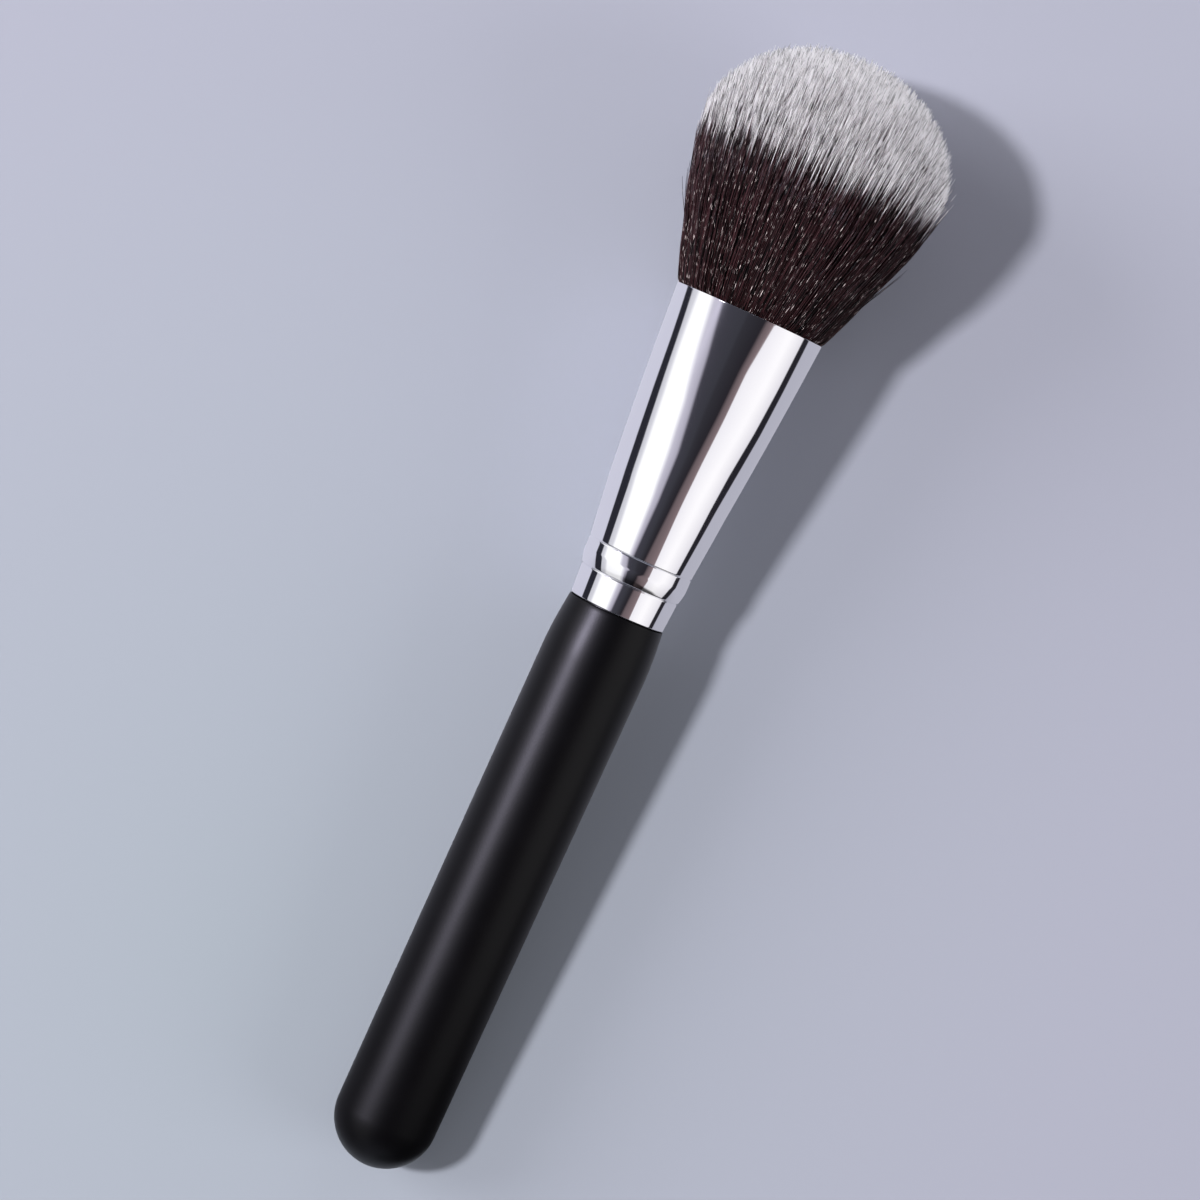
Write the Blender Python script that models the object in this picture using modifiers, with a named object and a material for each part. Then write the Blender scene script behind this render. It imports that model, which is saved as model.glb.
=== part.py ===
"""Blush brush, lying at rest: a turned handle, a spun metal ferrule and a domed tuft of two-tone fibres.

Every piece is made about the brush's own axis, local Z. There z = 0 is the joint between handle and
ferrule, the tuft points up and the handle reaches down. The empty brush_axis then lays the brush on
the table, where it rests on the round butt of its handle and on the belly of its tuft.
"""

import math

import bmesh
import bpy

# Clearances between neighbouring pieces, and the finest distance at which points are merged.
FIT_GAP = 0.0002
BUNDLE_GAP = 0.0002
MERGE_DISTANCE = 0.000005

# Handle: turned birch. The fullest turn lies a short way below the shoulder, and the butt is a hemisphere.
HANDLE_LENGTH = 0.0912
HANDLE_RADIUS = 0.0081
BUTT_RADIUS = 0.00787
SHOULDER_RADIUS = 0.00753
SHOULDER_ROUND = 0.0002
SWELL_LENGTH = 0.0085
TENON_LENGTH = 0.018
TENON_CHAMFER = 0.0006
KEY_GROOVES = 3
KEY_GROOVE_DEPTH = 0.0003
KEY_GROOVE_WIDTH = 0.0008
KEY_GROOVE_PITCH = 0.0032
KEY_GROOVE_START = 0.0072

# Ferrule: one thin drawn tube. From the handle up it has a skirt, a rolled bead and a long flared cone.
FERRULE_WALL = 0.00045
SKIRT_LENGTH = 0.0046
SKIRT_REAR_RADIUS = 0.0075
SKIRT_FRONT_RADIUS = 0.0078
BEAD_LENGTH = 0.0041
BEAD_RADIUS = 0.0083
BEAD_REAR_RADIUS = 0.0079
BEAD_FULL_SHARE = 0.42
CONE_LENGTH = 0.0393
MOUTH_RADIUS = 0.0117
CONE_BULGE = 0.00022
CREASE_WIDTH = 0.00024
CREASE_DEPTH = 0.00012
RIM_CHAMFER = 0.00012

# Tuft: fibres packed in the mouth, flared to a belly and cut to a dome.
TUFT_LENGTH = 0.041
BELLY_HEIGHT = 0.0255
BELLY_RADIUS = 0.0192
STRAIGHT_FLARE_SHARE = 0.2
REST_FLAT_DEPTH = 0.0005
MOUTH_RECESS = 0.0004
ROOT_DEPTH = 0.0165
NECK_RADIUS = 0.0084
NECK_LENGTH = 0.0047
NECK_FLARE_LENGTH = 0.004
CORE_SECTORS = 5
BUNDLE_SECTORS = (20, 34, 46)
RINGS_PER_BUNDLE = 3
STRAND_INSET = 0.00011
TIP_TAPER = 0.0035
TIP_UNEVENNESS = 0.0004
OUTER_STATION_SHARES = (0.48, 0.93)

# Binding thread round the neck of the tuft.
THREAD_RADIUS = 0.00025
THREAD_TURNS = 3
THREAD_TURN_GAP = 0.00045
THREAD_POINTS_PER_TURN = 24
THREAD_LEAD_IN = 0.0009

# Epoxy: a cup that holds the bound root, and a sleeve that holds the tenon.
ROOT_CUP_FLOOR = 0.004
ROOT_CUP_LIP = 0.0003
TENON_GLUE_START = 0.0007
TENON_GLUE_LENGTH = 0.0085

# Fineness of turned pieces.
TURN_STEPS = 48
FERRULE_STEPS = 60
BUTT_POINTS = 9
SWELL_POINTS = 5
CONE_POINTS = 7
GLUE_POINTS = 5

# Dyed fibre: the brown ends and the white begins this far above the mouth, over a short blend.
BROWN_LENGTH = 0.0213
DYE_BLEND = 0.003

# Colours, as linear red, green and blue.
LACQUER_BLACK = (0.009, 0.008, 0.010)
POLISHED_METAL = (0.90, 0.90, 0.92)
FIBRE_BROWN = (0.046, 0.017, 0.014)
FIBRE_WHITE = (0.62, 0.61, 0.63)
EPOXY_AMBER = (0.55, 0.38, 0.16)
THREAD_WHITE = (0.75, 0.73, 0.68)

FERRULE_LENGTH = SKIRT_LENGTH + BEAD_LENGTH + CONE_LENGTH
BEAD_BOTTOM = SKIRT_LENGTH
CONE_BOTTOM = SKIRT_LENGTH + BEAD_LENGTH
BELLY_Z = FERRULE_LENGTH + BELLY_HEIGHT
DOME_HEIGHT = TUFT_LENGTH - BELLY_HEIGHT
ROOT_TOP = FERRULE_LENGTH - MOUTH_RECESS
ROOT_BOTTOM = FERRULE_LENGTH - ROOT_DEPTH
TENON_RADIUS = SKIRT_REAR_RADIUS - FERRULE_WALL - FIT_GAP
THREAD_WINDING_RADIUS = NECK_RADIUS + FIT_GAP + THREAD_RADIUS
ROOT_CUP_BORE = THREAD_WINDING_RADIUS + THREAD_RADIUS + FIT_GAP
RING_COUNT = 1 + RINGS_PER_BUNDLE * len(BUNDLE_SECTORS)


def clear_scene():
    for old in list(bpy.data.objects):
        bpy.data.objects.remove(old)


def rest_on_table():
    """(tilt, height, shift): how the axis leans up from the table, and where its z = 0 point lies.

    The table line touches the butt's hemisphere and the flattened belly. The shift puts the world's
    origin under the middle of the brush.
    """
    butt_centre = HANDLE_LENGTH - BUTT_RADIUS
    span = butt_centre + BELLY_Z
    flat_radius = BELLY_RADIUS - REST_FLAT_DEPTH
    tilt = math.atan2(flat_radius, span) - math.asin(BUTT_RADIUS / math.hypot(span, flat_radius))
    height = BUTT_RADIUS + butt_centre * math.sin(tilt)
    rear = -butt_centre * math.cos(tilt) - BUTT_RADIUS
    tallest = DOME_HEIGHT + TIP_UNEVENNESS
    front = BELLY_Z * math.cos(tilt) + math.hypot(tallest * math.cos(tilt), BELLY_RADIUS * math.sin(tilt))
    return tilt, height, -(rear + front) / 2


def finish(name, colour, roughness, metallic=0.0):
    material = bpy.data.materials.new(name)
    material.use_nodes = True
    shader = material.node_tree.nodes["Principled BSDF"]
    shader.inputs["Base Color"].default_value = (*colour, 1.0)
    shader.inputs["Roughness"].default_value = roughness
    shader.inputs["Metallic"].default_value = metallic
    return material


def dyed_fibre():
    """Fibre that is brown at the root and white at the tip, by its height along the brush's axis."""
    material = finish("dyed_fibre", FIBRE_BROWN, 0.45)
    nodes, links = material.node_tree.nodes, material.node_tree.links
    place = nodes.new("ShaderNodeTexCoord")
    split = nodes.new("ShaderNodeSeparateXYZ")
    blend = nodes.new("ShaderNodeMapRange")
    blend.interpolation_type = "SMOOTHSTEP"
    blend.inputs["From Min"].default_value = FERRULE_LENGTH + BROWN_LENGTH - DYE_BLEND / 2
    blend.inputs["From Max"].default_value = FERRULE_LENGTH + BROWN_LENGTH + DYE_BLEND / 2
    colours = nodes.new("ShaderNodeMix")
    colours.data_type = "RGBA"
    colours.inputs["A"].default_value = (*FIBRE_BROWN, 1.0)
    colours.inputs["B"].default_value = (*FIBRE_WHITE, 1.0)
    links.new(place.outputs["Object"], split.inputs["Vector"])
    links.new(split.outputs["Z"], blend.inputs["Value"])
    links.new(blend.outputs["Result"], colours.inputs["Factor"])
    links.new(colours.outputs["Result"], nodes["Principled BSDF"].inputs["Base Color"])
    return material


def place(obj, material, collection, axis):
    """Gives the piece its material and seats it on the brush's axis."""
    if obj.data.materials:
        obj.data.materials[0] = material
    else:
        obj.data.materials.append(material)
    collection.objects.link(obj)
    obj.parent = axis
    return obj


def turned(name, outline, steps, closed=False):
    """A piece turned about Z from an outline of (radius, height) points that runs down its outer side."""
    mesh = bpy.data.meshes.new(name)
    edges = [(i, i + 1) for i in range(len(outline) - 1)]
    if closed:
        edges.append((len(outline) - 1, 0))
    mesh.from_pydata([(radius, 0.0, height) for radius, height in outline], edges, [])
    obj = bpy.data.objects.new(name, mesh)
    lathe = obj.modifiers.new("lathe", "SCREW")
    lathe.axis = "Z"
    lathe.steps = steps
    lathe.render_steps = steps
    lathe.use_merge_vertices = True
    lathe.merge_threshold = MERGE_DISTANCE
    lathe.use_smooth_shade = True
    return obj


def arc(centre_radius, centre_height, radius, start, end, points):
    """Points of an arc in the (radius, height) plane. Angles are in degrees above the outward direction."""
    angles = [math.radians(start + (end - start) * i / (points - 1)) for i in range(points)]
    return [(centre_radius + radius * math.cos(a), centre_height + radius * math.sin(a)) for a in angles]


def handle_outline():
    """Tenon with its glue-keying grooves, shoulder, swelling, long body and round butt, from the top down."""
    outline = [(0.0, TENON_LENGTH), (TENON_RADIUS - TENON_CHAMFER, TENON_LENGTH)]
    outline.append((TENON_RADIUS, TENON_LENGTH - TENON_CHAMFER))
    for groove in reversed(range(KEY_GROOVES)):
        middle = KEY_GROOVE_START + groove * KEY_GROOVE_PITCH
        outline.append((TENON_RADIUS, middle + KEY_GROOVE_WIDTH / 2))
        outline.append((TENON_RADIUS - KEY_GROOVE_DEPTH, middle))
        outline.append((TENON_RADIUS, middle - KEY_GROOVE_WIDTH / 2))
    shoulder = -FIT_GAP
    outline.append((TENON_RADIUS, shoulder))
    outline += arc(SHOULDER_RADIUS - SHOULDER_ROUND, shoulder - SHOULDER_ROUND, SHOULDER_ROUND, 90, 0, 3)
    swell_top = shoulder - SHOULDER_ROUND
    for i in range(1, SWELL_POINTS + 1):
        share = i / SWELL_POINTS
        radius = SHOULDER_RADIUS + (HANDLE_RADIUS - SHOULDER_RADIUS) * math.sin(math.pi / 2 * share)
        outline.append((radius, swell_top - (SWELL_LENGTH - SHOULDER_ROUND) * share))
    butt_centre = -(HANDLE_LENGTH - BUTT_RADIUS)
    outline += arc(0.0, butt_centre, BUTT_RADIUS, 0, -90, BUTT_POINTS)[:-1]
    outline.append((0.0, -HANDLE_LENGTH))
    return outline


def cone_radius(height):
    """Outer radius of the ferrule's flared cone, which bulges a little between its ends."""
    share = (height - CONE_BOTTOM) / CONE_LENGTH
    straight = BEAD_RADIUS + (MOUTH_RADIUS - BEAD_RADIUS) * share
    return straight + CONE_BULGE * 4 * share * (1 - share)


def crease(radius, height):
    """A fine rolled groove, as three points across its height."""
    half = CREASE_WIDTH / 2
    return [(radius, height + half), (radius - CREASE_DEPTH, height), (radius, height - half)]


def ferrule_outline():
    """Outer side of the ferrule, from the mouth down to the rear rim. The drawn wall follows it inside."""
    outline = []
    for i in range(CONE_POINTS):
        height = FERRULE_LENGTH - (CONE_LENGTH - CREASE_WIDTH) * i / CONE_POINTS
        outline.append((cone_radius(height), height))
    outline += crease(BEAD_RADIUS, CONE_BOTTOM)
    outline.append((BEAD_RADIUS, CONE_BOTTOM - BEAD_FULL_SHARE * BEAD_LENGTH))
    lower = crease(SKIRT_FRONT_RADIUS, BEAD_BOTTOM)
    lower[0] = (BEAD_REAR_RADIUS, lower[0][1])
    outline += lower
    outline.append((SKIRT_REAR_RADIUS, 0.0))
    return outline


def bore_radius(height):
    """Inner radius of the ferrule at a height, read from its outline and its wall."""
    outline = ferrule_outline()
    for (upper_radius, upper), (lower_radius, lower) in zip(outline, outline[1:]):
        if lower <= height <= upper:
            share = (height - lower) / (upper - lower)
            return lower_radius + (upper_radius - lower_radius) * share - FERRULE_WALL
    return outline[0][0] - FERRULE_WALL


def ferrule_wall():
    """Outer side and inner side of the ferrule as one closed outline, with both rims chamfered outside."""
    outer = ferrule_outline()
    inner = [(radius - FERRULE_WALL, height) for radius, height in reversed(outer)]
    mouth, rear = outer[0], outer[-1]
    outer[:1] = [(mouth[0] - RIM_CHAMFER, mouth[1]), (mouth[0], mouth[1] - RIM_CHAMFER)]
    outer[-1:] = [(rear[0], rear[1] + RIM_CHAMFER), (rear[0] - RIM_CHAMFER, rear[1])]
    return outer + inner


def tenon_glue_outline():
    """Sleeve of epoxy between the tenon and the inside of the bead and cone."""
    bottom = BEAD_BOTTOM + TENON_GLUE_START
    heights = [bottom + TENON_GLUE_LENGTH * i / (GLUE_POINTS - 1) for i in range(GLUE_POINTS)]
    crease_reach = CREASE_DEPTH + FIT_GAP
    outer = [(bore_radius(height) - crease_reach, height) for height in reversed(heights)]
    inner = TENON_RADIUS + FIT_GAP
    return outer + [(inner, bottom), (inner, heights[-1])]


def root_cup_outline():
    """Cup of epoxy: a floor behind the fibres' ends, and a wall round the neck and its thread."""
    floor_top = ROOT_BOTTOM - FIT_GAP
    bottom = floor_top - ROOT_CUP_FLOOR
    top = ROOT_BOTTOM + NECK_LENGTH - ROOT_CUP_LIP
    return [
        (0.0, floor_top),
        (ROOT_CUP_BORE, floor_top),
        (ROOT_CUP_BORE, top),
        (bore_radius(top) - FIT_GAP, top),
        (bore_radius(floor_top) - FIT_GAP, floor_top),
        (bore_radius(bottom) - FIT_GAP, bottom),
        (0.0, bottom),
    ]


def binding_thread(name):
    """A thread wound round the neck in open turns. It prints its least gap to itself."""
    pitch = 2 * THREAD_RADIUS + THREAD_TURN_GAP
    points = []
    for i in range(THREAD_TURNS * THREAD_POINTS_PER_TURN + 1):
        turn = i / THREAD_POINTS_PER_TURN
        angle = 2 * math.pi * turn
        height = ROOT_BOTTOM + THREAD_LEAD_IN + pitch * turn
        x, y = THREAD_WINDING_RADIUS * math.cos(angle), THREAD_WINDING_RADIUS * math.sin(angle)
        points.append((x, y, height))
    near_turn = THREAD_POINTS_PER_TURN // 2
    gap = min(math.dist(a, b) for i, a in enumerate(points) for b in points[i + near_turn:])
    print(f"binding_thread: least gap to itself {(gap - 2 * THREAD_RADIUS) * 1000:.2f} mm")
    curve = bpy.data.curves.new(name, "CURVE")
    curve.dimensions = "3D"
    curve.bevel_depth = THREAD_RADIUS
    curve.bevel_resolution = 1
    curve.use_fill_caps = True
    line = curve.splines.new("POLY")
    line.points.add(len(points) - 1)
    for point, place_on_line in zip(line.points, points):
        point.co = (*place_on_line, 1.0)
    return bpy.data.objects.new(name, curve)


def packed_radius():
    """Radius of the packed fibres at the mouth."""
    return bore_radius(ROOT_TOP) - FIT_GAP


def spread(height):
    """Radius of the tuft's outer strands at a height: they flare to the belly, then run straight."""
    foot = packed_radius() - BUNDLE_GAP / 2 - STRAND_INSET
    share = min(1.0, (height - ROOT_TOP) / (BELLY_Z - ROOT_TOP))
    eased = STRAIGHT_FLARE_SHARE * share + (1 - STRAIGHT_FLARE_SHARE) * math.sin(math.pi / 2 * share)
    return foot + (BELLY_RADIUS - foot) * eased


def tip_height(share, number):
    """Height of the dome over a strand at this share of the tuft's radius. No two strands are cut quite alike."""
    uneven = TIP_UNEVENNESS * math.sin(number * math.pi * (3 - math.sqrt(5)))
    return BELLY_Z + DOME_HEIGHT * math.sqrt(max(0.0, 1 - share * share)) + uneven


def bundle_root(mesh, sectors, inner_ring, outer_ring):
    """Spins the root slice of a bundle: packed fibre ends with a bound neck, and one cell on top per strand."""
    neck_top = ROOT_BOTTOM + NECK_LENGTH
    rows = ((ROOT_BOTTOM, NECK_RADIUS), (neck_top, NECK_RADIUS), (ROOT_TOP, packed_radius()))
    outline = [(outer_ring / RING_COUNT * radius - BUNDLE_GAP / 2, height) for height, radius in rows]
    if outer_ring == RING_COUNT:
        flare_top = neck_top + NECK_FLARE_LENGTH
        outline.insert(-1, (bore_radius(flare_top) - FIT_GAP - BUNDLE_GAP / 2, flare_top))
    for ring in reversed(range(inner_ring + 1, outer_ring)):
        outline.append((ring / RING_COUNT * packed_radius(), ROOT_TOP))
    if inner_ring:
        for height, radius in reversed(rows):
            outline.append((inner_ring / RING_COUNT * radius + BUNDLE_GAP / 2, height))
    else:
        outline = [(0.0, ROOT_BOTTOM), *outline, (0.0, ROOT_TOP)]
    half_pitch = math.pi / sectors
    start = (math.cos(half_pitch), -math.sin(half_pitch))
    points = [mesh.verts.new((radius * start[0], radius * start[1], height)) for radius, height in outline]
    edges = [mesh.edges.new(pair) for pair in zip(points, points[1:])]
    if inner_ring:
        edges.append(mesh.edges.new((points[-1], points[0])))
    bmesh.ops.spin(mesh, geom=points + edges, cent=(0.0, 0.0, 0.0), axis=(0.0, 0.0, 1.0),
                   angle=2 * math.pi, steps=sectors, use_merge=True)
    bmesh.ops.remove_doubles(mesh, verts=mesh.verts[:], dist=MERGE_DISTANCE)
    bmesh.ops.recalc_face_normals(mesh, faces=mesh.faces[:])


def share_of(face):
    """How far out a strand's end face lies, as a share of the tuft's radius at its height."""
    return face.calc_center_median().xy.length / spread(face.verts[0].co.z)


def grow(mesh, strands, station):
    """Extrudes each strand's end face on its own to the height that station gives for it."""
    grown = bmesh.ops.extrude_discrete_faces(mesh, faces=strands)["faces"]
    for number, face in enumerate(grown):
        low = face.verts[0].co.z
        height = station(share_of(face), number)
        for vert in face.verts:
            vert.co.xy *= spread(height) / spread(low)
            vert.co.z = height
    return grown


def fibre_bundle(name, sectors, inner_ring, outer_ring, below_table):
    """One ring-shaped bundle: its strands rise from insets in the root's cells and end in points on the dome."""
    mesh = bmesh.new()
    bundle_root(mesh, sectors, inner_ring, outer_ring)
    cells = [face for face in mesh.faces if face.normal.z > 0.9 and face.calc_center_median().z > ROOT_TOP - FIT_GAP]
    bmesh.ops.inset_individual(mesh, faces=cells, thickness=STRAND_INSET, use_even_offset=True)
    outermost = [face for face in cells if share_of(face) > 1 - 1 / RING_COUNT]
    strands = [face for face in cells if face not in outermost]
    for station_share in OUTER_STATION_SHARES:
        outermost = grow(mesh, outermost, lambda share, number: ROOT_TOP + (BELLY_Z - ROOT_TOP) * station_share)
    strands += outermost
    strands = grow(mesh, strands, lambda share, number: tip_height(share, number) - TIP_TAPER)
    strands = grow(mesh, strands, tip_height)
    for face in strands:
        bmesh.ops.pointmerge(mesh, verts=face.verts[:], merge_co=face.calc_center_median())
    for vert in mesh.verts:
        sunk = below_table(vert.co)
        if sunk > 0:
            vert.co.x -= sunk
    data = bpy.data.meshes.new(name)
    mesh.to_mesh(data)
    mesh.free()
    return bpy.data.objects.new(name, data)


def main():
    clear_scene()
    brush = bpy.data.collections.new("blush_brush")
    bpy.context.scene.collection.children.link(brush)
    tilt, height, shift = rest_on_table()
    axis = bpy.data.objects.new("brush_axis", None)
    brush.objects.link(axis)
    axis.location = (shift, 0.0, height)
    axis.rotation_euler = (0.0, math.pi / 2 - tilt, 0.0)

    def below_table(point):
        """How far a point must move back along local X, which points down, to lie on the table."""
        return (math.cos(tilt) * point.x - math.sin(tilt) * point.z - height) / math.cos(tilt)

    lacquer = finish("black_lacquer", LACQUER_BLACK, 0.42)
    metal = finish("polished_metal", POLISHED_METAL, 0.06, metallic=1.0)
    epoxy = finish("epoxy", EPOXY_AMBER, 0.25)
    cotton = finish("cotton_thread", THREAD_WHITE, 0.85)
    fibre = dyed_fibre()

    place(turned("handle", handle_outline(), TURN_STEPS), lacquer, brush, axis)
    place(turned("ferrule", ferrule_wall(), FERRULE_STEPS, closed=True), metal, brush, axis)
    place(turned("tenon_glue", tenon_glue_outline(), TURN_STEPS, closed=True), epoxy, brush, axis)
    place(turned("root_glue_cup", root_cup_outline(), TURN_STEPS), epoxy, brush, axis)
    place(binding_thread("binding_thread"), cotton, brush, axis)
    outer_ring = 0
    for number, sectors in enumerate((CORE_SECTORS, *BUNDLE_SECTORS), start=1):
        inner_ring = outer_ring
        outer_ring += RINGS_PER_BUNDLE if inner_ring else 1
        bundle = fibre_bundle(f"fibre_bundle_{number}", sectors, inner_ring, outer_ring, below_table)
        place(bundle, fibre, brush, axis)


main()
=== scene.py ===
"""A blush brush at rest on a pale table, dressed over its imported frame.

The sections follow the brush as it is put together: the tuft is bound, seated in the ferrule and glued,
then the handle is glued in from the rear. The table, the camera and the lights come last.
"""

import math

import bmesh
import bpy
import numpy as np
from mathutils import Matrix, Vector


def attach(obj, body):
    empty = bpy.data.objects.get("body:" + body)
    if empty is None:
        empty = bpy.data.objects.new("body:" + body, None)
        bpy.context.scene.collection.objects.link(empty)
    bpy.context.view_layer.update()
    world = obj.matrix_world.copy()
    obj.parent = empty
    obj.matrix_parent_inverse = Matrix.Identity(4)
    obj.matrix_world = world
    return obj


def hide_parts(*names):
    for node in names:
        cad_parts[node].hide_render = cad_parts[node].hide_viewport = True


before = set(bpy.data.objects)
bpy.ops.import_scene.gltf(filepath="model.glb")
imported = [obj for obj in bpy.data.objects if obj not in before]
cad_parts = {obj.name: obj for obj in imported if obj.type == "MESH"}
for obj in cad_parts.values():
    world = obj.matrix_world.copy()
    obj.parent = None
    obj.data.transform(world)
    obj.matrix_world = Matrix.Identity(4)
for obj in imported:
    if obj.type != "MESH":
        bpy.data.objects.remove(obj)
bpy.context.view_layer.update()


# Tuft.
# Thousands of fine tapered synthetic fibres, crimped, dyed brown below and left white at the tips.
# They are packed in the ferrule's mouth, flare to a belly and are cut to a dome, in loose small locks.
mouth_z = 0.048
belly_z = 0.0735
belly_radius = 0.0191
dome_height = 0.0154
packed_radius = 0.0111
foot_z, top_z = mouth_z - 0.0022, belly_z + dome_height
first_white, white_spread = 0.0676, 0.0155
map_columns = 256
random = np.random.default_rng(20)

# Heights run along the brush's long axis, from z = 0 at the joint between handle and ferrule. The brush
# lies on the butt of its handle and the belly of its tuft, so that axis leans up a little to the tuft.
rest_tilt = math.radians(3.94354)
rest_height = 0.0136009
rest_shift = 0.00087975
laid_down = Matrix.Rotation(math.pi / 2 - rest_tilt, 4, "Y")
brush_axis = Matrix.Translation((rest_shift, 0.0, rest_height)) @ laid_down
above_table = 0.00003


def lean(height):
    """How far the ferrule, and the root of the tuft in it, sit to one side of the handle's axis."""
    return np.interp(height, (0.003, 0.019, mouth_z, 0.066), (0, 0.00033, 0.00037, 0))


def flare(height):
    """Radius of the outermost fibres. They bulge over the ferrule's rim and lean out to their ends."""
    curved, rim_bulge, lean_out, straighten = 0.8, 0.0007, 0.185, 1.6
    share = np.clip((height - mouth_z) / (belly_z - mouth_z), -0.1, curved)
    eased = 0.2 * share + 0.8 * np.sin(math.pi / 2 * share)
    past = np.maximum(height - (mouth_z + curved * (belly_z - mouth_z)), 0)
    swell = np.clip((height - mouth_z + 0.0012) / 0.0016, 0, 1)
    settle = np.clip((height - mouth_z) / 0.009, 0, 1) ** 1.5
    radius = packed_radius + (belly_radius - packed_radius) * eased + rim_bulge * (swell - settle)
    return radius + lean_out * past - straighten * past ** 2


def tip_height(shares):
    """Height at which fibres of these shares reach the domed outline of the tuft."""
    heights = np.linspace(belly_z - 0.003, belly_z + dome_height, 400)
    up_dome = np.maximum(heights - belly_z, 0) / dome_height
    outline = belly_radius * np.sqrt(np.clip(1 - up_dome ** 2, 0, 1))
    reach = outline / flare(heights)
    return np.interp(-shares, -reach, heights)


# The golden angle from each lock to the next spreads them evenly over the section.
lock_count = 6500
lock_angle = np.arange(lock_count) * math.pi * (3 - math.sqrt(5))
lock_share = np.sqrt((np.arange(lock_count) + 0.5) / lock_count)
lock_centres = np.stack([lock_share * np.cos(lock_angle), lock_share * np.sin(lock_angle)], axis=1)
lock_centres += random.normal(0, 0.009, lock_centres.shape)
lock_pull = random.uniform(0.2, 0.85, lock_count)
lock_chance = random.uniform(0, 1, lock_count)
lock_rise = random.normal(0.0001, 0.00015, lock_count) - random.exponential(0.0003, lock_count)
lock_bend = random.normal(0, 0.00008, (lock_count, 2))
held_above_mouth = 0.003
crimps = ((0.0015, 0.00009), (0.001, 0.00004))
alone_share, shade_strand_share, latest = 0.65, 0.08, 0.999


def grow_fibres(shares, segments, thickness, evenness, stray):
    """(points, radii, how late each turns white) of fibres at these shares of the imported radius."""
    count = len(shares)
    angles = random.uniform(0, 2 * math.pi, count)
    start = np.stack([shares * np.cos(angles), shares * np.sin(angles)], axis=1)
    lock = np.empty(count, int)
    for first in range(0, count, 500):
        rows = start[first:first + 500]
        lock[first:first + 500] = ((rows[:, None] - lock_centres[None]) ** 2).sum(axis=2).argmin(axis=1)
    tips = tip_height(shares) + lock_rise[lock] + random.normal(0, 0.0002, count)
    tips = tips - random.exponential(0.0006, count)
    wild = random.uniform(0, 1, count) < stray
    tips = np.where(wild, np.minimum(tips, mouth_z + random.uniform(0.012, 0.034, count)), tips)
    along = np.linspace(0, 1, segments + 1)[None, :] ** evenness
    heights = foot_z + (tips[:, None] - foot_z) * along

    # Each fibre starts straight in the mouth, then draws to the middle of its lock and bends with it.
    free_z = tips[:, None] - mouth_z - held_above_mouth
    rise = np.clip((heights - mouth_z - held_above_mouth) / free_z, 0, 1)
    pull = lock_pull[lock][:, None] * rise ** 1.5
    flat = start[:, None, :] + (lock_centres[lock] - start)[:, None, :] * pull[:, :, None]
    flat = flat * flare(heights)[:, :, None]
    flat += lock_bend[lock][:, None, :] * rise[:, :, None] ** 2
    flat += random.normal(0, 0.0001, (count, 1, 2)) * rise[:, :, None] ** 2
    outward = np.stack([np.cos(angles), np.sin(angles)], axis=1)
    for length, reach in crimps:
        phase = random.uniform(0, 2 * math.pi, (count, 1))
        phase = phase + heights / (length * random.uniform(0.8, 1.4, (count, 1)))
        wave = random.uniform(0.2, 1, (count, 1)) * reach * np.minimum(rise * 4, 1) * np.sin(phase)
        flat += outward[:, None, :] * wave[:, :, None]
    away = outward + random.normal(0, 0.4, (count, 2))
    flare_out = np.where(wild, random.uniform(0.0003, 0.0012, count), 0)
    flat += away[:, None, :] * (flare_out[:, None] * rise ** 1.5)[:, :, None]
    flat[:, :, 1] += lean(heights)
    points = np.concatenate([flat, heights[:, :, None]], axis=2)
    taper = np.clip(1.25 - 0.95 * along ** 3, 0.3, 1.0)
    radii = thickness * random.uniform(0.7, 1.15, (count, 1)) * taper

    # Some fibres turn white with their lock and some alone. One that ends lower turns white earlier.
    alone = random.uniform(0, 1, count) < alone_share
    in_time = np.clip((tips - 0.001 - first_white) / white_spread, 0.1, 1)
    late = np.where(alone, random.uniform(0, 1, count), lock_chance[lock]) ** 0.8
    # About one fibre in twelve stays brown almost to its tip. These dark strands are painted shade,
    # standing in for the shadowed gaps between white strands.
    late = np.where(random.uniform(0, 1, count) < shade_strand_share, latest, late)
    return points, radii, late * in_time


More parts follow.
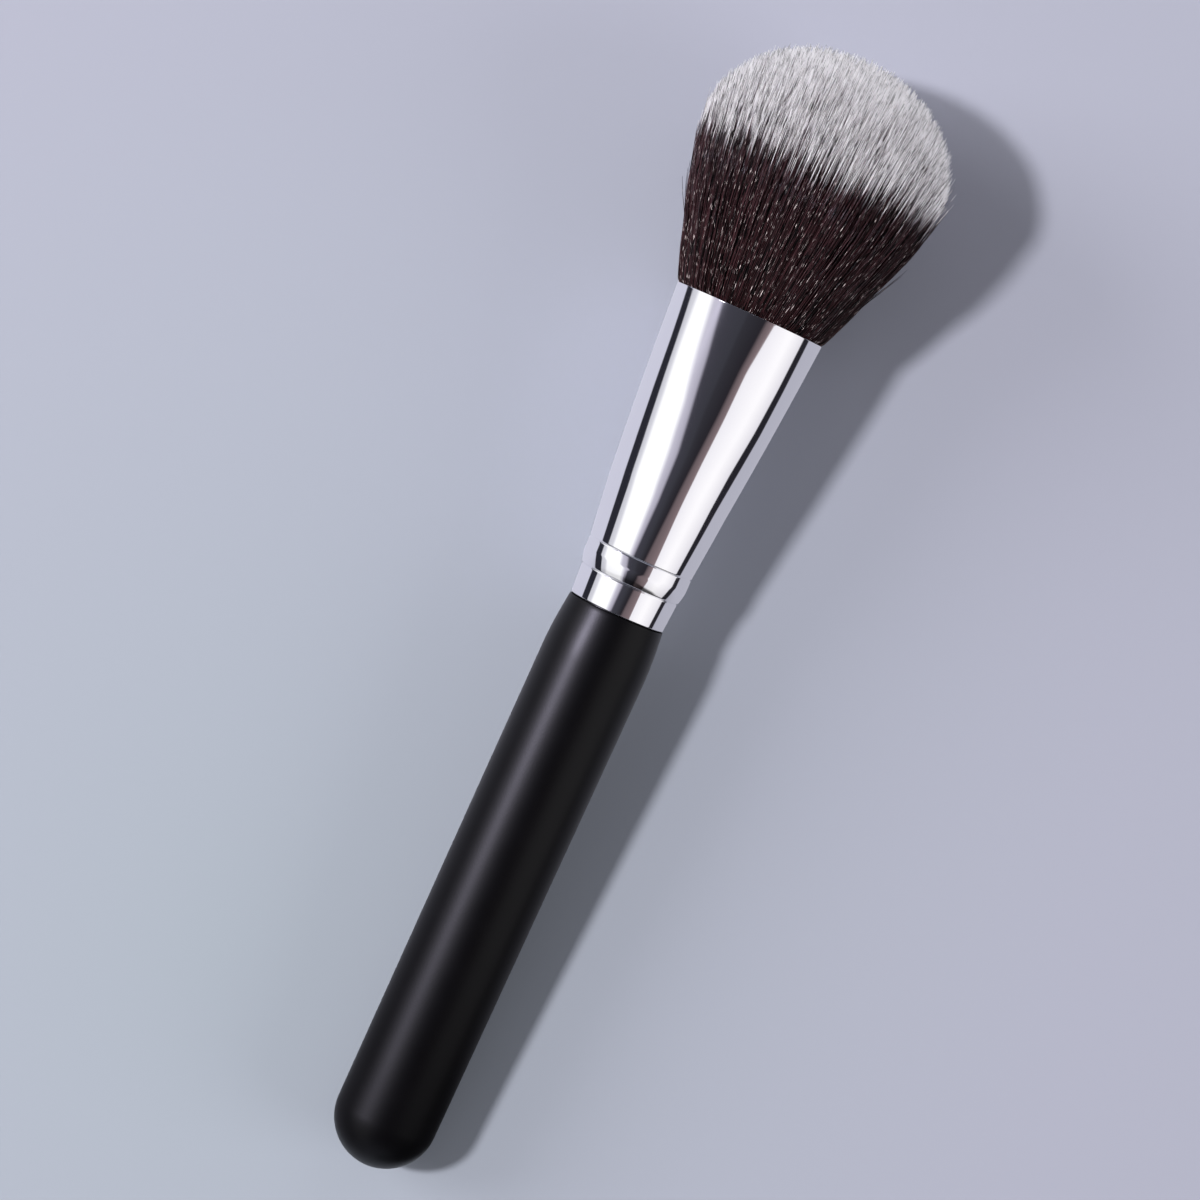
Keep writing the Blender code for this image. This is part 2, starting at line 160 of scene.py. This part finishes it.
def fibre_piece(name, points, radii, lateness, bundles):
    """One mesh of three-sided fibres, each closed at its tip.

    Its map runs up the tuft, and the column that a fibre has in it is how late it turns white.
    """
    count, rings = radii.shape
    world = np.array(brush_axis)
    points = points @ world[:3, :3].T + world[:3, 3]
    points[:, :, 2] = np.maximum(points[:, :, 2], radii + above_table)
    along = np.gradient(points, axis=1)
    along /= np.linalg.norm(along, axis=2, keepdims=True)
    turn = random.uniform(0, 2 * math.pi, (count, 1, 1))
    aside = np.cross(along, np.concatenate([np.sin(turn), np.cos(turn), np.cos(turn)], axis=2))
    aside /= np.linalg.norm(aside, axis=2, keepdims=True)
    across = np.cross(along, aside)

    # Near the tips the shading turns to face along the fibre, so that the dome looks white from its end.
    corners, facings = [], []
    tilt = 0.7 * np.clip(np.linspace(-2.3, 1, rings), 0, 1)[None, :, None]
    for side in range(3):
        angle = side * 2 * math.pi / 3
        outward = math.cos(angle) * aside + math.sin(angle) * across
        corners.append(points + radii[:, :, None] * outward)
        facings.append(outward * (1 - tilt) + along * tilt)
    corners = np.stack(corners, axis=2)
    ends = points[:, -1] + along[:, -1] * radii[:, -1:] * 3
    ends[:, 2] = np.maximum(ends[:, 2], above_table)
    verts = np.concatenate([corners.reshape(-1, 3), ends])
    facings = np.concatenate([np.stack(facings, axis=2).reshape(-1, 3), along[:, -1]])
    facings /= np.linalg.norm(facings, axis=1, keepdims=True)

    index = np.arange(count * rings * 3).reshape(count, rings, 3)
    after = np.roll(index, -1, axis=2)
    quads = np.stack([index[:, :-1], after[:, :-1], after[:, 1:], index[:, 1:]], axis=3).reshape(-1, 4)
    tip = np.repeat(count * rings * 3 + np.arange(count), 3)
    caps = np.stack([index[:, -1].ravel(), after[:, -1].ravel(), tip], axis=1)
    triangles = np.concatenate([caps, index[:, 0, ::-1].reshape(-1, 3)])
    face_corners = np.concatenate([quads.ravel(), triangles.ravel()])
    sizes = np.concatenate([np.full(len(quads), 4), np.full(len(triangles), 3)])
    mesh = bpy.data.meshes.new(name)
    mesh.vertices.add(len(verts))
    mesh.vertices.foreach_set("co", verts.ravel().astype(np.float32))
    mesh.loops.add(len(face_corners))
    mesh.loops.foreach_set("vertex_index", face_corners.astype(np.int32))
    mesh.polygons.add(len(sizes))
    mesh.polygons.foreach_set("loop_start", (np.cumsum(sizes) - sizes).astype(np.int32))
    mesh.update(calc_edges=True)
    mesh.shade_smooth()
    mesh.normals_split_custom_set_from_vertices(facings)

    to_local = np.array(brush_axis.inverted())[2]
    heights = verts @ to_local[:3] + to_local[3]
    owner = np.concatenate([np.repeat(np.arange(count), rings * 3), np.arange(count)])
    side_share = np.concatenate([np.tile([0.25, 0.5, 0.75], count * rings), np.full(count, 0.5)])
    columns = (np.floor(lateness * map_columns)[owner] + side_share) / map_columns
    up_map = np.clip((heights - foot_z) / (top_z - foot_z), 0.001, 0.999)
    uv = np.stack([columns, up_map], axis=1)
    layer = mesh.uv_layers.new(name="OFBake")
    layer.uv.foreach_set("vector", uv[face_corners].ravel().astype(np.float32))
    piece = bpy.data.objects.new(name, mesh)
    bpy.context.scene.collection.objects.link(piece)
    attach(piece, "root")
    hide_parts(*bundles)
    return piece


def new_finish(name):
    """(material, nodes, links, shader) of a new finish."""
    material = bpy.data.materials.new(name)
    material.use_nodes = True
    nodes, links = material.node_tree.nodes, material.node_tree.links
    return material, nodes, links, nodes["Principled BSDF"]


def maths(nodes, links, operation, first, second=None, third=None):
    """The output of a maths node over these numbers and outputs."""
    node = nodes.new("ShaderNodeMath")
    node.operation = operation
    for socket, value in zip(node.inputs, (first, second, third)):
        if isinstance(value, (int, float)):
            socket.default_value = value
        elif value is not None:
            links.new(value, socket)
    return node.outputs["Value"]


def ranged(nodes, links, value, start, end, low=0.0, high=1.0):
    """An output's range from start to end, drawn out to run from low to high."""
    node = nodes.new("ShaderNodeMapRange")
    for socket, number in zip(("From Min", "From Max", "To Min", "To Max"), (start, end, low, high)):
        node.inputs[socket].default_value = number
    links.new(value, node.inputs["Value"])
    return node.outputs["Result"]


def noise(nodes, links, place, scale, detail, dimensions="3D"):
    """Soft noise of this fineness over a place on the surface."""
    node = nodes.new("ShaderNodeTexNoise")
    node.noise_dimensions = dimensions
    node.inputs["Scale"].default_value = scale
    node.inputs["Detail"].default_value = detail
    links.new(place, node.inputs["Vector"])
    return node.outputs["Fac"]


def mixed(nodes, links, share, low, high):
    """A colour that runs from low, which may be an output, to high with the share."""
    node = nodes.new("ShaderNodeMix")
    node.data_type = "RGBA"
    node.inputs["B"].default_value = (*high, 1)
    if isinstance(low, tuple):
        node.inputs["A"].default_value = (*low, 1)
    else:
        links.new(low, node.inputs["A"])
    links.new(share, node.inputs["Factor"])
    return node.outputs["Result"]


def roughen(nodes, links, shader, height, distance, strength):
    """Gives the shader a relief of this height."""
    relief = nodes.new("ShaderNodeBump")
    relief.inputs["Distance"].default_value = distance
    relief.inputs["Strength"].default_value = strength
    links.new(height, relief.inputs["Height"])
    links.new(relief.outputs["Normal"], shader.inputs["Normal"])


dye_line = 0.475
# The first step, darker than the brown above it, is painted shade deep in the ferrule's mouth.
dye_and_root_shade_steps = ((0.0, (0.025, 0.0082, 0.0098)), (0.44, (0.036, 0.014, 0.0175)), (0.462, (0.13, 0.088, 0.105)),
             (0.485, (0.6, 0.56, 0.62)), (0.52, (0.985, 0.958, 0.998)))


def dyed_fibre(name):
    """Brown below, white above, with each fibre's own dye line, lightness and crimp, and with painted shade
    and painted glints.
    """
    material, nodes, links, shader = new_finish(name)
    shader.inputs["Specular IOR Level"].default_value = 0.2
    shader.inputs["Coat Roughness"].default_value = 0.35
    place = nodes.new("ShaderNodeUVMap")
    place.uv_map = "OFBake"
    split = nodes.new("ShaderNodeSeparateXYZ")
    links.new(place.outputs["UV"], split.inputs["Vector"])
    across, up = split.outputs["X"], split.outputs["Y"]

    # Every column of the map has its own lightness, roughness and place in the noises.
    column = maths(nodes, links, "FLOOR", maths(nodes, links, "MULTIPLY", across, map_columns))
    chance = nodes.new("ShaderNodeTexWhiteNoise")
    chance.noise_dimensions = "1D"
    links.new(column, chance.inputs["W"])
    chances = nodes.new("ShaderNodeSeparateColor")
    links.new(chance.outputs["Color"], chances.inputs["Color"])
    roughness = maths(nodes, links, "MULTIPLY_ADD", chances.outputs["Blue"], 0.16, 0.24)
    links.new(roughness, shader.inputs["Roughness"])
    offset = maths(nodes, links, "MULTIPLY", chances.outputs["Blue"], 50.0)
    stretch = nodes.new("ShaderNodeCombineXYZ")
    links.new(maths(nodes, links, "MULTIPLY", column, 7.31), stretch.inputs["X"])
    links.new(maths(nodes, links, "MULTIPLY_ADD", up, 10.0, offset), stretch.inputs["Y"])
    dashes = noise(nodes, links, stretch.outputs["Vector"], 1.0, 1, "2D")
    roughen(nodes, links, shader, dashes, 0.00015, 1.0)

    # The dye ends where the height on the map, less the fibre's own lateness, passes the dye line.
    tuft_length = top_z - foot_z
    earliest = maths(nodes, links, "ADD", up, dye_line - (first_white - foot_z) / tuft_length)
    whiteness = maths(nodes, links, "MULTIPLY_ADD", across, -white_spread / tuft_length, earliest)
    dye = nodes.new("ShaderNodeValToRGB")
    steps = dye.color_ramp.elements
    for step, (position, colour) in zip(steps[:], dye_and_root_shade_steps):
        step.position = position
        step.color = (*colour, 1)
    for position, colour in dye_and_root_shade_steps[2:]:
        steps.new(position).color = (*colour, 1)
    links.new(whiteness, dye.inputs["Fac"])

    # Short dark dashes of painted shade, as in the gaps between fibres, fainter at the tips, and a
    # lightness for each fibre.
    gap_shade_strength = ranged(nodes, links, up, 0.65, 0.92, 0.96, 0.6)
    gap = ranged(nodes, links, dashes, 0.45, 0.39)
    lightness = maths(nodes, links, "MULTIPLY_ADD", maths(nodes, links, "MULTIPLY", gap, gap_shade_strength), -1.0, 1.0)
    spread = ranged(nodes, links, whiteness, 0.4, 0.5, 1.15, 0.04)
    either_way = maths(nodes, links, "SUBTRACT", chances.outputs["Green"], 0.5)
    own = maths(nodes, links, "MULTIPLY_ADD", either_way, spread, 0.98)
    shade = nodes.new("ShaderNodeHueSaturation")
    links.new(dye.outputs["Color"], shade.inputs["Color"])
    links.new(maths(nodes, links, "MULTIPLY", lightness, own), shade.inputs["Value"])

    # Fine bright glints painted into the colour along the fibres, a painted highlight, and a coat that only
    # the white part has.
    grain = nodes.new("ShaderNodeCombineXYZ")
    links.new(maths(nodes, links, "MULTIPLY", across, 900.0), grain.inputs["X"])
    links.new(maths(nodes, links, "MULTIPLY_ADD", up, 36.0, offset), grain.inputs["Y"])
    painted_glint_spots = noise(nodes, links, grain.outputs["Vector"], 1.0, 0, "2D")
    painted_glint = ranged(nodes, links, painted_glint_spots, 0.765, 0.9)
    colour_with_painted_glints = mixed(nodes, links, painted_glint, shade.outputs["Color"], (0.95, 0.8, 0.8))
    links.new(colour_with_painted_glints, shader.inputs["Base Color"])
    links.new(ranged(nodes, links, whiteness, 0.44, 0.56), shader.inputs["Coat Weight"])
    return material


# Each row: name, meshes, fibres in one, the share of the section that they fill, segments, thickness,
# evenness of the segments, share of strays, slot, and the solids that the meshes stand for.
layers = [
    ("skin_fibres", 4, 1300, (0.81, 0.97), 20, 0.00008, 1.0, 0.08, "outer_fibre", ["fibre_bundle_4"]),
    ("outer_fibres", 3, 2000, (0.5, 0.81), 12, 0.00008, 0.75, 0.0, "outer_fibre", ["fibre_bundle_4"]),
    ("middle_fibres", 2, 2600, (0.2, 0.5), 8, 0.00013, 0.65, 0.0, "inner_fibre", ["fibre_bundle_3"]),
    ("core_fibres", 1, 2800, (0.0, 0.2), 8, 0.00014, 0.6, 0.0, "inner_fibre",
     ["fibre_bundle_1", "fibre_bundle_2"]),
]
fibre_finish = dyed_fibre("dyed_fibre")
for name, pieces, count, filled, segments, thickness, evenness, stray, slot, bundles in layers:
    for number in range(1, pieces + 1):
        shares = np.sqrt(random.uniform(*filled, count))
        fibres = grow_fibres(shares, segments, thickness, evenness, stray)
        piece = fibre_piece(f"{name}_{number}", *fibres, bundles)
        piece.data.materials.append(fibre_finish)


# Binding thread and glue.
# Cotton thread holds the fibres' roots together. Amber epoxy fixes the bound root in the ferrule, and
# more of it fixes the handle's tenon. All of it is hidden once the brush is assembled.
def worked_finish(name, low, high, scale, roughness, bump):
    """A finish that varies between two colours at the given fineness, with a matching slight relief."""
    material, nodes, links, shader = new_finish(name)
    shader.inputs["Roughness"].default_value = roughness
    place = nodes.new("ShaderNodeTexCoord").outputs["Object"]
    grain = noise(nodes, links, place, scale, 4)
    links.new(mixed(nodes, links, grain, low, high), shader.inputs["Base Color"])
    roughen(nodes, links, shader, grain, bump, 0.5)
    return material


def refinish(node, material):
    """Gives a node of the frame its finish."""
    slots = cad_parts[node].data.materials
    slots.clear()
    slots.append(material)


thread_finish = worked_finish("cotton_thread", (0.66, 0.63, 0.57), (0.8, 0.78, 0.73), 3000, 0.85, 0.00005)
epoxy_finish = worked_finish("amber_epoxy", (0.5, 0.33, 0.13), (0.6, 0.42, 0.19), 400, 0.22, 0.00003)
refinish("binding_thread", thread_finish)
refinish("root_glue_cup", epoxy_finish)
refinish("tenon_glue", epoxy_finish)


# Ferrule.
# A drawn brass tube, polished and bright-plated. It is spun to a long flared cone above a rolled bead,
# and two fine creases pinch the bead, under which a short skirt runs to the handle.
def turned_piece(name, outline, steps, aside=None):
    """An outline of (radius, height) points turned about the brush's axis, and moved aside if asked."""
    mesh = bmesh.new()
    points = [mesh.verts.new((radius, 0, height)) for radius, height in outline]
    edges = [mesh.edges.new(pair) for pair in zip(points, points[1:])]
    if min(radius for radius, height in outline) > 0:
        edges.append(mesh.edges.new((points[-1], points[0])))
    bmesh.ops.spin(mesh, geom=points + edges, cent=(0, 0, 0), axis=(0, 0, 1), angle=2 * math.pi,
                   steps=steps, use_merge=True)
    bmesh.ops.remove_doubles(mesh, verts=mesh.verts[:], dist=1e-7)
    bmesh.ops.recalc_face_normals(mesh, faces=mesh.faces[:])
    for corner in mesh.verts:
        corner.co.y += aside(corner.co.z) if aside else 0
    data = bpy.data.meshes.new(name)
    mesh.to_mesh(data)
    mesh.free()
    data.shade_smooth()
    data.set_sharp_from_angle(angle=math.radians(28))
    data.transform(brush_axis)
    piece = bpy.data.objects.new(name, data)
    bpy.context.scene.collection.objects.link(piece)
    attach(piece, "root")
    return piece


def rounded(points, radius, steps=4):
    """The outline with each corner a small curve, and a point beside it so that flats stay flat."""
    smooth = [points[0]]
    for before, corner, after in zip(points, points[1:], points[2:]):
        before, corner, after = Vector(before), Vector(corner), Vector(after)
        if (corner - before).angle(after - corner) < 0.05:
            smooth.append(tuple(corner))
            continue
        in_length, out_length = (before - corner).length, (after - corner).length
        reach = min(radius, in_length / 2, out_length / 2)
        first = corner + (before - corner).normalized() * reach
        last = corner + (after - corner).normalized() * reach
        if in_length > 5 * reach:
            smooth.append(tuple(corner + (before - corner).normalized() * reach * 2))
        for i in range(steps + 1):
            share = i / steps
            curve = first * (1 - share) ** 2 + corner * 2 * share * (1 - share) + last * share ** 2
            smooth.append(tuple(curve))
        if out_length > 5 * reach:
            smooth.append(tuple(corner + (after - corner).normalized() * reach * 2))
    return smooth + [points[-1]]


ferrule_wall = 0.00028
neck_radius, cone_growth, cone_swell = 0.0083, 0.0034, 0.00022
skirt_top, bead_top, crease = 0.0046, 0.0087, 0.00012
bead_straight_z, bead_taper = 0.00698, 0.0004
crease_radius, skirt_radius, skirt_foot_radius = 0.00768, 0.0078, 0.0075


def cone_radius(share):
    """Radius of the ferrule's cone at this share of the way from the bead up to the mouth."""
    return neck_radius + cone_growth * share + cone_swell * 4 * share * (1 - share)


cone_points = []
for i in range(41):
    share = 1 - i / 40
    cone_points.append((cone_radius(share), bead_top + crease + (mouth_z - bead_top - crease) * share))
bead_points = [(neck_radius - crease, bead_top), (neck_radius, bead_top - crease),
               (neck_radius, bead_straight_z)]
for i in range(1, 15):
    share = i / 15
    height = bead_straight_z + (skirt_top + crease - bead_straight_z) * share
    bead_points.append((neck_radius - bead_taper * share ** 1.7, height))
skirt_points = [(neck_radius - bead_taper, skirt_top + crease), (crease_radius, skirt_top),
                (skirt_radius, skirt_top - crease), (skirt_foot_radius, 0)]
outer_side = cone_points + bead_points + skirt_points
inner_side = [(radius - ferrule_wall, height) for radius, height in outer_side[::-1]
              if height not in (bead_top, skirt_top)]
rim = outer_side + inner_side
ferrule = turned_piece("ferrule_bright", rounded([*rim, *rim[:2]], 0.00008)[1:-1], 256, lean)
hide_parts("ferrule")


def bright_plate(name):
    """Mirror-bright plate over a spun tube: the faintest ripple along its length, and some haze."""
    material, nodes, links, shader = new_finish(name)
    shader.inputs["Metallic"].default_value = 1.0
    place = nodes.new("ShaderNodeTexCoord").outputs["Object"]
    haze = noise(nodes, links, place, 90, 5)
    links.new(ranged(nodes, links, haze, 0.0, 1.0, 0.03, 0.075), shader.inputs["Roughness"])
    tint = mixed(nodes, links, haze, (0.88, 0.88, 0.9), (0.94, 0.94, 0.95))
    links.new(tint, shader.inputs["Base Color"])
    roughen(nodes, links, shader, noise(nodes, links, place, 70, 1), 0.00012, 0.25)
    return material


ferrule.data.materials.append(bright_plate("bright_plate"))


# Handle.
# Turned birch, sealed and sprayed with a matt black lacquer. It swells a little below the shoulder, runs
# almost straight and ends in a round butt. Its grooved tenon is glued into the ferrule.
handle_length = 0.0912
butt_radius = 0.00787
swell_radius, swell_depth = 0.0081, 0.0087
shoulder_radius, shoulder_depth = 0.00753, 0.0004
tenon_radius, tenon_top, tenon_chamfer = 0.00685, 0.018, 0.0006
groove_heights, groove_half, groove_floor = (0.0136, 0.0104, 0.0072), 0.0004, 0.00655
outline = [(0.0, tenon_top), (tenon_radius - tenon_chamfer, tenon_top),
           (tenon_radius, tenon_top - tenon_chamfer)]
for middle in groove_heights:
    outline += [(tenon_radius, middle + groove_half), (groove_floor, middle),
                (tenon_radius, middle - groove_half)]
outline += [(tenon_radius, -0.0002), (0.00733, -0.0002), (0.00747, -0.00026),
            (shoulder_radius, -shoulder_depth)]
for i in range(1, 17):
    share = i / 16
    radius = shoulder_radius + (swell_radius - shoulder_radius) * math.sin(math.pi / 2 * share)
    outline.append((radius, -shoulder_depth - (swell_depth - shoulder_depth) * share))
butt_depth = handle_length - butt_radius
for i in range(1, 8):
    share = i / 8
    radius = swell_radius - (swell_radius - butt_radius) * share
    outline.append((radius, -swell_depth - (butt_depth - swell_depth) * share))
for i in range(24):
    angle = math.pi / 2 * i / 24
    outline.append((butt_radius * math.cos(angle), -butt_depth - butt_radius * math.sin(angle)))
outline.append((0.0, -handle_length))
handle = turned_piece("handle_lacquered", outline, 144)
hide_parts("handle")


def matt_lacquer(name):
    """Sprayed matt black: a fine dry orange peel, slightly uneven sheen and a faint blue tint."""
    material, nodes, links, shader = new_finish(name)
    shader.inputs["Specular IOR Level"].default_value = 0.18
    place = nodes.new("ShaderNodeTexCoord").outputs["Object"]
    cloud = noise(nodes, links, place, 220, 6)
    links.new(ranged(nodes, links, cloud, 0.0, 1.0, 0.37, 0.41), shader.inputs["Roughness"])
    black = mixed(nodes, links, cloud, (0.0008, 0.0007, 0.001), (0.0014, 0.0013, 0.0018))
    links.new(black, shader.inputs["Base Color"])
    roughen(nodes, links, shader, noise(nodes, links, place, 4200, 2), 0.00002, 0.35)
    return material


handle.data.materials.append(matt_lacquer("matt_black_lacquer"))


# Table.
# A wide smooth sheet of pale lavender-grey card, a little bluer at the lower left, that keeps the shadow.
table_mesh = bmesh.new()
bmesh.ops.create_grid(table_mesh, x_segments=1, y_segments=1, size=4)
table_data = bpy.data.meshes.new("table")
table_mesh.to_mesh(table_data)
table_mesh.free()
table = bpy.data.objects.new("table", table_data)
bpy.context.scene.collection.objects.link(table)
card, nodes, links, shader = new_finish("pale_card")
shader.inputs["Roughness"].default_value = 0.9
shader.inputs["Specular IOR Level"].default_value = 0.0
patch = nodes.new("ShaderNodeMapping")
patch.vector_type = "TEXTURE"
patch.inputs["Location"].default_value = (-0.07, 0.035, 0)
patch.inputs["Scale"].default_value = (0.16, 0.13, 1)
links.new(nodes.new("ShaderNodeTexCoord").outputs["Object"], patch.inputs["Vector"])
bluer = nodes.new("ShaderNodeTexGradient")
bluer.gradient_type = "SPHERICAL"
links.new(patch.outputs["Vector"], bluer.inputs["Vector"])
lavender = mixed(nodes, links, bluer.outputs["Fac"], (0.323, 0.326, 0.397), (0.303, 0.332, 0.38))
links.new(lavender, shader.inputs["Base Color"])
table_data.materials.append(card)


# Camera.
# It looks straight down from above the shoulder, and is turned so that the brush lies from the lower
# left to the upper right.
camera_data = bpy.data.cameras.new("camera")
camera_data.lens = 112.4
camera_data.sensor_width = 36
camera_data.clip_start = 0.01
camera = bpy.data.objects.new("camera", camera_data)
camera.location = (0.00131, 0.00298, 0.5691)
camera.rotation_euler = (0, 0, math.radians(-65.487))
bpy.context.scene.collection.objects.link(camera)
bpy.context.scene.camera = camera


# Studio tent.
# Glowing cards that only polished surfaces see, a painted reflection: white side walls, a charcoal ceiling
# and black strips low down at either side. Each edge of its cards is cut where the camera sees it in the
# ferrule, at a share of its radius.
tent_radius, tent_axis_z, tent_floor = 0.22, 0.0155, 0.0008
stations = (0.0458, 0.0398, 0.0324, 0.0250, 0.0175, 0.0116)
beyond = (0.06, 0.075, 0.4)


def seen_from_camera(height, share):
    """The point of the tent that the camera sees in the ferrule, at this height and share of its radius."""
    cone_length = mouth_z - bead_top
    up_cone = (height - bead_top) / cone_length
    radius = cone_radius(up_cone)
    slope = (cone_growth + 4 * cone_swell * (1 - 2 * up_cone)) / cone_length
    aside = -share * radius
    up = -math.sqrt(radius ** 2 - aside ** 2)
    spot = brush_axis @ Vector((up, aside, height))
    normal = (brush_axis.to_3x3() @ Vector((up / radius, aside / radius, -slope))).normalized()
    ray = (spot - camera.location).normalized().reflect(normal)
    down = (tent_floor - spot.z) / ray.z if ray.z < 0 else math.inf
    across, off_axis = Vector((ray.y, ray.z)), Vector((spot.y, spot.z - tent_axis_z))
    middle = across.dot(off_axis) / across.length_squared
    gap = (tent_radius ** 2 - off_axis.length_squared) / across.length_squared
    return spot + ray * min(down, math.sqrt(middle ** 2 + gap) - middle)


def tent_line(shares):
    """An edge of the tent's cards along the ferrule's stations, carried on past both ends."""
    line = [seen_from_camera(height, share) for height, share in zip(stations, shares)]
    ahead = line[0] + (line[0] - line[1]) * 0.6
    behind = line[-1] + (line[-1] - line[-2]) * 0.6
    far_behind = [behind - Vector((x, 0, 0)) for x in beyond]
    return [ahead + Vector((0.25, 0, 0)), ahead, *line, behind, *far_behind]


# Each row: where the edge is seen at each station, how soft it is, and the glow on either side of it.
card_edges = [
    ((-0.84, -0.815, -0.80, -0.78, -0.76, -0.75), 0.006, (0.64, 0.64, 0.76), (0.024, 0.024, 0.034)),
    ((-0.765, -0.735, -0.705, -0.67, -0.64, -0.63), 0.006, (0.024, 0.024, 0.034), (0.64, 0.64, 0.70)),
    ((-0.69, -0.675, -0.635, -0.60, -0.57, -0.545), 0.02, (0.72, 0.72, 0.78), (1.12, 1.12, 1.14)),
    ((-0.49, -0.44, -0.33, -0.26, -0.21, -0.205), 0.03, (1.16, 1.16, 1.18), (0.60, 0.58, 0.68)),
    ((-0.355, -0.285, -0.205, -0.12, -0.10, -0.12), 0.02, (0.46, 0.44, 0.53), (0.055, 0.053, 0.07)),
    ((-0.03, -0.03, -0.02, 0.02, 0.02, 0.01), 0.02, (0.044, 0.044, 0.056), (0.034, 0.033, 0.042)),
    ((0.215, 0.185, 0.18, 0.155, 0.13, 0.10), 0.02, (0.022, 0.02, 0.026), (0.15, 0.115, 0.125)),
    ((0.315, 0.27, 0.275, 0.262, 0.262, 0.272), 0.006, (0.24, 0.18, 0.19), (0.94, 0.92, 0.97)),
    ((0.56, 0.56, 0.54, 0.50, 0.47, 0.46), 0.02, (1.08, 1.06, 1.08), (1.08, 1.06, 1.08)),
    ((0.74, 0.745, 0.738, 0.705, 0.70, 0.69), 0.006, (0.83, 0.81, 0.86), (0.02, 0.019, 0.025)),
    ((0.81, 0.82, 0.825, 0.805, 0.785, 0.77), 0.006, (0.02, 0.019, 0.025), (0.47, 0.47, 0.55)),
]
floor_line = [(0.3, 0.016), (0.055, 0.016), (0.047, 0.0155), (0.041, 0.015), (0.033, 0.0142),
              (0.026, 0.0137), (0.018, 0.013), (0.01, 0.0125), (0.003, 0.012), (-0.06, 0.012),
              (-0.08, 0.012), (-0.45, 0.012)]
lines = [[Vector((x, y, tent_floor)) for x, y in floor_line]]
colours = [card_edges[0][2]]
for shares, soft, before, after in card_edges:
    lines += [tent_line([share - soft for share in shares]), tent_line([share + soft for share in shares])]
    colours += [before, after]
lines.append([Vector((x, -y, tent_floor)) for x, y in floor_line])
colours.append(card_edges[-1][3])
tent_data = bpy.data.meshes.new("studio_tent")
rows = len(floor_line)
tent_data.from_pydata([tuple(point) for line in lines for point in line], [],
                      [(i * rows + k, i * rows + k + 1, (i + 1) * rows + k + 1, (i + 1) * rows + k)
                       for i in range(len(lines) - 1) for k in range(rows - 1)])

# Far behind the ferrule the cards dim. Each row: the first line that it no longer holds for, and the
# share of the glow that is left at each of the last three points.
fades = ((2, (0.6, 0.42, 0.0)), (9, (0.9, 0.7, 0.3)), (15, (0.5, 0.25, 0.1)), (22, (0.85, 0.07, 0.05)),
         (24, (0.4, 0.1, 0.1)))
tint = tent_data.color_attributes.new("glow", "FLOAT_COLOR", "POINT")
for i, colour in enumerate(colours):
    fade = next(left for end, left in fades if i < end)
    for k, share in enumerate([1] * (rows - len(fade)) + list(fade)):
        tint.data[i * rows + k].color = (*(value * share for value in colour), 1)
tent_glow = bpy.data.materials.new("tent_glow")
tent_glow.use_nodes = True
nodes, links = tent_glow.node_tree.nodes, tent_glow.node_tree.links
nodes.clear()
paint = nodes.new("ShaderNodeVertexColor")
paint.layer_name = "glow"
light = nodes.new("ShaderNodeEmission")
out = nodes.new("ShaderNodeOutputMaterial")
links.new(paint.outputs["Color"], light.inputs["Color"])
links.new(light.outputs["Emission"], out.inputs["Surface"])
tent_data.materials.append(tent_glow)
tent = bpy.data.objects.new("studio_tent", tent_data)
bpy.context.scene.collection.objects.link(tent)
tent.visible_camera = False
tent.visible_diffuse = False
tent.visible_shadow = False
tent.visible_transmission = False
tent.visible_volume_scatter = False


# Lamps.
# A lamp at the upper left gives the soft shadow. Two broad side lamps, a low one in front of the tuft's
# end and the pale room fill it, and a small bluish one draws the sheen on the handle.
def lamp(name, spot, size, power):
    """A round lamp that faces the middle of the table."""
    data = bpy.data.lights.new(name, "AREA")
    data.shape = "DISK"
    data.size = size
    data.energy = power
    light = bpy.data.objects.new(name, data)
    light.location = spot
    light.rotation_euler = (-Vector(spot)).to_track_quat("-Z", "Y").to_euler()
    bpy.context.scene.collection.objects.link(light)
    return light


matt_lamps = (("key_lamp", (-0.2, 1.07, 1.72), 0.2, 39.0), ("left_lamp", (0.05, 1.6, 0.8), 1.2, 22.0),
              ("right_lamp", (0.05, -1.6, 0.8), 1.2, 12.0), ("front_lamp", (1.6, 0.0, 0.3), 0.5, 10.0))
for name, spot, size, power in matt_lamps:
    lamp(name, spot, size, power).visible_glossy = False
shine_lamp = lamp("shine_lamp", (0.02, 0.85, 0.86), 0.1, 23.0)
shine_lamp.data.color = (0.84, 0.8, 1.0)
shine_lamp.visible_diffuse = False
room = bpy.data.worlds.new("room")
room.use_nodes = True
nodes, links = room.node_tree.nodes, room.node_tree.links
back = nodes["Background"]
back.inputs["Color"].default_value = (0.95, 0.97, 1.0, 1)
back.inputs["Strength"].default_value = 0.25
seen = nodes.new("ShaderNodeBackground")
seen.inputs["Color"].default_value = (0.42, 0.44, 0.54, 1)
paths = nodes.new("ShaderNodeLightPath").outputs
looked_at = maths(nodes, links, "MAXIMUM", paths["Is Camera Ray"], paths["Is Glossy Ray"])
looked_at = maths(nodes, links, "MAXIMUM", looked_at, paths["Is Transmission Ray"])
choice = nodes.new("ShaderNodeMixShader")
links.new(looked_at, choice.inputs["Fac"])
links.new(back.outputs["Background"], choice.inputs[1])
links.new(seen.outputs["Background"], choice.inputs[2])
links.new(choice.outputs["Shader"], nodes["World Output"].inputs["Surface"])
bpy.context.scene.world = room
bpy.context.scene.view_settings.view_transform = "Standard"
